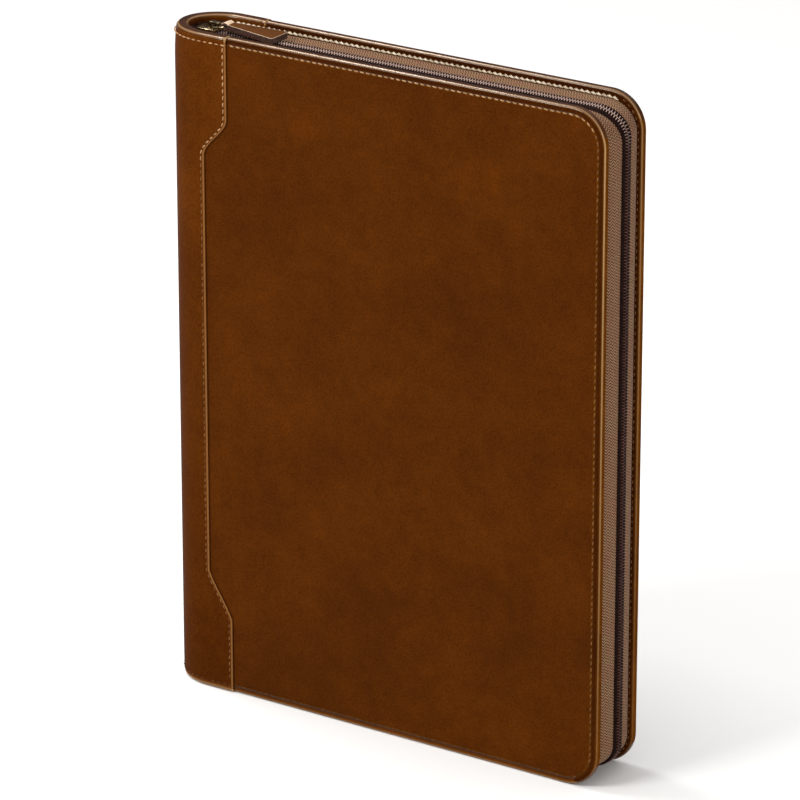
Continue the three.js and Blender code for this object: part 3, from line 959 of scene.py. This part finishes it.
def placing(spot, way, look):
    """A frame at a spot in millimetres: X along the row, Z away from the surface."""
    way = way.normalized()
    side = look.cross(way).normalized()
    up = way.cross(side)
    frame_matrix = Matrix((way, side, up)).transposed().to_4x4()
    return Matrix.Translation(spot * MM) @ frame_matrix


def stitch_master(length, thick, dip):
    """One stitch: a plump length of thread whose ends go down into the leather."""
    bpy.ops.object.select_all(action="DESELECT")
    bpy.ops.mesh.primitive_uv_sphere_add(segments=8, ring_count=8, radius=MM, rotation=(0, math.pi / 2, 0))
    stitch = bpy.context.object
    bpy.ops.object.transform_apply(location=True, rotation=True, scale=True)
    for point in stitch.data.vertices:
        along = point.co.x / MM
        plump = 1 - 0.35 * along * along
        point.co = metres(
            along * length / 2,
            point.co.y / MM * thick / 2 * plump,
            point.co.z / MM * thick / 2 * plump - dip * along * along,
        )
    smooth(stitch, 180)
    return stitch


def inner_path(inset, side, low):
    """A line on a cover's inner face along the top or the bottom, into the start of the corner."""
    points = rim_path(inset, side, inner_y, spine_x + 1)
    middle_x = right_edge - corner_radius
    return [point for point in points
            if (point.z < height / 2) == low and point.x < middle_x + 0.4 * corner_radius]


def rim_path(inset, side, y, left_x):
    """A line on a cover at one inset from its rim: along the top, round the corners, along the bottom."""
    radius = corner_radius - inset
    middle_x = right_edge - corner_radius
    points = [Vector((left_x, side * y, height - inset))]
    for middle_z, start in ((height - corner_radius, math.pi / 2), (corner_radius, 0.0)):
        for step in range(13):
            turn = start - math.pi / 2 * step / 12
            x, z = middle_x + radius * math.cos(turn), middle_z + radius * math.sin(turn)
            points.append(Vector((x, side * y, z)))
    points.append(Vector((left_x, side * y, inset)))
    return points


def row_placings(points, pitch, look, lift, tilt=0.0, start=0.0):
    found = []
    for spot, way in walked(points, pitch, start):
        facing = look(spot) if callable(look) else look
        found.append(placing(spot + facing * lift, way, facing) @ Matrix.Rotation(tilt, 4, "Z"))
    return found


def wrap_line(inset_z):
    """The stitches under the wrap's rim, from its front edge round the spine to its back edge."""
    total = 2 * tab_lap + spine_length
    points, looks = [], []
    for step in range(121):
        walk = 1.2 + (total - 2.4) * step / 120
        spot, look = wrap_spot(walk, inset_z, 0)
        points.append(Vector((spot.x, spot.y, inset_z)))
        looks.append(Vector((look.x, look.y, 0)))
    return points, looks


def look_near(points, looks):
    def look(spot):
        nearest = min(range(len(points)), key=lambda index: (points[index] - spot).length_squared)
        return looks[nearest]
    return look


def seam_line(side):
    """The stitches along the wrap's stepped edge, from top to bottom."""
    points, looks = [], []
    for step in range(201):
        z = height - stitch_inset - 2.5 - (height - 2 * stitch_inset - 5) * step / 200
        walk = seam_inset if side < 0 else 2 * lap_at(z) + spine_length - seam_inset
        spot, look = wrap_spot(walk, z, 0.2)
        points.append(Vector((spot.x, spot.y, z)))
        looks.append(Vector((look.x, look.y, 0)))
    return points, looks


# The stitches along the top take a tan thread; lower down the same thread is given darker copies as painted
# shade, darkest at the foot
upper_rows = (height - 12) * MM
step_rows = (height - tab_height - step_height) * MM
foot_rows_top = 12 * MM
bright_rows = []
shaded_rows = []
foot_shaded_rows = []
for side in (-1, 1):
    outward = Vector((0, side, 0))
    rim_rows = row_placings(
        rim_path(stitch_inset, side, face_y - 0.1, wrap_edge_x + 1.2), stitch_pitch, outward, 0.0,
        tilt=side * math.radians(7), start=stitch_pitch / 2)
    bright_rows += [place for place in rim_rows if place.translation.z > upper_rows]
    shaded_rows += [place for place in rim_rows if foot_rows_top < place.translation.z <= upper_rows]
    foot_shaded_rows += [place for place in rim_rows if place.translation.z <= foot_rows_top]
    points, looks = seam_line(side)
    seam_rows = row_placings(points, stitch_pitch, look_near(points, looks), 0.0, tilt=side * math.radians(7))
    bright_rows += [place for place in seam_rows if place.translation.z > step_rows]
    shaded_rows += [place for place in seam_rows if place.translation.z <= step_rows]
points, looks = wrap_line(height - stitch_inset)
bright_rows += row_placings(points, stitch_pitch, look_near(points, looks), 0.0, start=0.5)
points, looks = wrap_line(stitch_inset)
foot_shaded_rows += row_placings(points, stitch_pitch, look_near(points, looks), 0.0, start=0.5)
for name, size, rows, slot, twine in (
    ("rim_stitches", (3.0, 0.8, 0.4), bright_rows, "cover_leather", tan_thread),
    ("seam_stitches", (2.9, 0.7, 0.36), shaded_rows, "wrap_leather", brown_thread_shaded),
    ("foot_stitches", (2.9, 0.65, 0.36), foot_shaded_rows, "wrap_leather", foot_thread_shaded),
):
    dress(repeat(name, stitch_master(*size), rows), "case", slot, twine)

# The zip is sewn to the covers' inner faces with a thick overcast thread
inner_legs = []
inner_rope = []
shaded_side_row = []
for side in (-1, 1):
    inward = Vector((0, -side, 0))
    for low in (False, True):
        lean = side if low else -side
        inner_legs += row_placings(
            inner_path(3.1, side, low), overcast_pitch, inward, 0.15, tilt=lean * math.radians(27))
        inner_rope += row_placings(
            inner_path(3.5, side, low), overcast_pitch, inward, 0.45, tilt=lean * math.radians(12))
    # Round the corners and along the side it is a plain row beside the tape's edge, in the brown thread as
    # painted shade
    side_points = rim_path(2.15, side, inner_y, spine_x + 1)
    side_points = [point for point in side_points if point.x > right_edge - 0.6 * corner_radius]
    shaded_side_row += row_placings(side_points, stitch_pitch, inward, 0.0)
for name, size, rows, twine in (
    ("zip_overcast_legs", (2.3, 0.5, 0.25), inner_legs, cream_thread),
    ("zip_overcast_rope", (3.5, 0.95, 0.25), inner_rope, cream_thread),
    ("zip_side_stitches", (2.6, 0.55, 0.3), shaded_side_row, brown_thread_shaded),
):
    dress(repeat(name, stitch_master(*size), rows), "case", "tape_cloth", twine)


# The coil

def tooth_master():
    """One turn of the nylon coil: a rounded bar across the zip with a fuller head at the middle."""
    bpy.ops.object.select_all(action="DESELECT")
    bpy.ops.mesh.primitive_uv_sphere_add(segments=8, ring_count=7, radius=MM, rotation=(math.pi / 2, 0, 0))
    tooth = bpy.context.object
    bpy.ops.object.transform_apply(location=True, rotation=True, scale=True)
    for point in tooth.data.vertices:
        across = point.co.y / MM
        reach = math.copysign(abs(across) ** 0.6, across)
        ring = math.sqrt(max(0.0, 1 - across * across))
        full = min(1.0, ring * 1.5) / max(ring, 0.01)
        head = 1.25 if across < -0.3 else 1.0
        point.co = metres(
            point.co.x / MM * 0.23 * head * full,
            1.42 * reach + 1.12,
            point.co.z / MM * 0.6 * full,
        )
    smooth(tooth, 180)
    return tooth


zip_crown = zip_line([top_line(zip_start_x)] + top_stops[1:], corner_steps=28, side_steps=16)


side_lean, top_lean = -18, 40  # degrees that the bars lean along the side, and turn by on the top


def coil_rows():
    """Frames along the zip's crown, the same way out for both coils."""
    recess = coil_crown + coil_height / 2
    line = [stop(recess, coil_height / 2 - coil_bulge) for stop in zip_crown]
    points = [Vector((x, 0, z)) for x, z in line]
    rows = []
    for side in (-1, 1):
        for spot, way in walked(points, coil_pitch, start=coil_pitch / 2 * (side > 0)):
            out = Vector((-way.z, 0, way.x))
            lean = math.radians(side_lean + top_lean * max(0.0, way.x))
            frame_matrix = placing(spot, way, out) @ Matrix.Rotation(lean, 4, "Z")
            mirror = Matrix.Diagonal((1, 1, 1, 1)) if side < 0 else Matrix.Rotation(math.pi, 4, "Z")
            rows.append(frame_matrix @ mirror)
    return rows


teeth = repeat("zip_coil", tooth_master(), coil_rows())
dress(teeth, "case", "coil_nylon", coil_nylon, "front_coil", "back_coil")
# Painted highlight: the teeth near the top are mixed towards a pale tone
top_light_layer = teeth.data.attributes.new("coil_painted_highlight", "FLOAT", "POINT")
for index, point in enumerate(teeth.data.vertices):
    top_light_layer.data[index].value = 0.95 * clamp((point.co.z / MM - height + 22) / 18)


def coil_band():
    """The dark band of thread that sews the coils down, near black so that it also stands as painted shade in
    the gaps between the teeth.
    """
    across = [-1.0, -0.92, -0.62, 0, 0.62, 0.92, 1.0]
    drops = [1.5, 0.8, 0.4, 0.55, 0.4, 0.8, 1.5]

    def place(column, row):
        x, z = zip_crown[row](coil_crown + drops[column], drops[column] - coil_bulge)
        # It is wider along the top and the bottom than along the side
        level = clamp((abs(z - height / 2) - height / 2 + corner_radius) / 12)
        return x, across[column] * (3.5 + 1.1 * level), z

    band = lay_sheet("coil_band_thread_and_shade", len(across) - 1, len(zip_crown) - 1, place)
    face_away(band, (-110, 0, 600))
    finish_modifier(band, "SOLIDIFY", thickness=0.2 * MM, offset=-1)
    smooth(band, 60)
    return band


dress(coil_band(), "case", "coil_nylon", dark_thread_and_shade)


# The slider, its link and the leather pull

slider = cad_copy("zip_slider", "slider")
round_edges(slider, 0.22, 2, 35)
smooth(slider, 40)
dress(slider, "case", "brass", brass, "slider")

end_stop = cad_copy("zip_stop", "zip_end_stop")
round_edges(end_stop, 0.2, 2, 35)
smooth(end_stop, 40)
dress(end_stop, "case", "brass", brass, "zip_end_stop")

link = cad_copy("pull_ring", "pull_link", whole_faces=False)
finish_modifier(link, "SUBSURF", levels=2, render_levels=2)
smooth(link, 180)
dress(link, "pull", "brass", brass, "pull_link")

tab = cad_copy("pull_strap", "pull_tab")
round_edges(tab, 0.6, 3, 35)
smooth(tab, 40)
dress(tab, "pull", "tab_leather", pull_hide, "pull_tab")
tab.data.materials.append(edge_paint)
tab.data.materials.append(pull_edge_hide_highlit)
# The strap's sides take the edge paint; only its upward-facing corners take the pale edge hide, partly a
# painted highlight
for face in tab.data.polygons:
    if abs(face.normal.z) < 0.4:
        face.material_index = 1
    elif 0.4 <= face.normal.z < 0.985:
        face.material_index = 2


# The floor and the light

def make_floor():
    bpy.ops.object.select_all(action="DESELECT")
    bpy.ops.mesh.primitive_plane_add(size=14, location=(0, 0, 0))
    floor = bpy.context.object
    floor.name = "floor"
    material, tree, shader = new_material("pale_paper_sweep", Roughness=0.9)
    shader.inputs["Base Color"].default_value = colour("#f1f0ee")
    shader.inputs["Specular IOR Level"].default_value = 0.1
    floor.data.materials.append(material)


def soft_box(name, place, size, power, target=(0, 0, 0.17)):
    data = bpy.data.lights.new(name, "AREA")
    data.shape = "RECTANGLE"
    data.size, data.size_y = size
    data.energy = power
    light = bpy.data.objects.new(name, data)
    light.location = place
    light.rotation_euler = (Vector(target) - Vector(place)).to_track_quat("-Z", "Y").to_euler()
    bpy.context.scene.collection.objects.link(light)


def make_light():
    world = bpy.data.worlds.new("studio")
    world.use_nodes = True
    tree = world.node_tree
    look = add_node(tree, "ShaderNodeTexCoord").outputs["Generated"]
    axes = add_node(tree, "ShaderNodeSeparateXYZ", {"Vector": look})
    ceiling = add_node(tree, "ShaderNodeMapRange", {
        "Value": axes.outputs["Z"], 1: 0.42, 2: 0.75, 3: 0.12, 4: 1.0,
    }, interpolation_type="SMOOTHSTEP")
    tree.links.new(ceiling.outputs[0], tree.nodes["Background"].inputs["Strength"])
    tree.nodes["Background"].inputs["Color"].default_value = colour("#ffffff")
    bpy.context.scene.world = world
    soft_box("key", (-1.0, -2.0, 1.9), (1.0, 0.6), 46)
    soft_box("overhead", (-0.85, -0.05, 1.7), (0.9, 0.14), 17)
    soft_box("right", (1.9, -0.7, 0.7), (0.8, 1.2), 17)


make_floor()
make_light()
bpy.context.scene.view_settings.view_transform = "Standard"
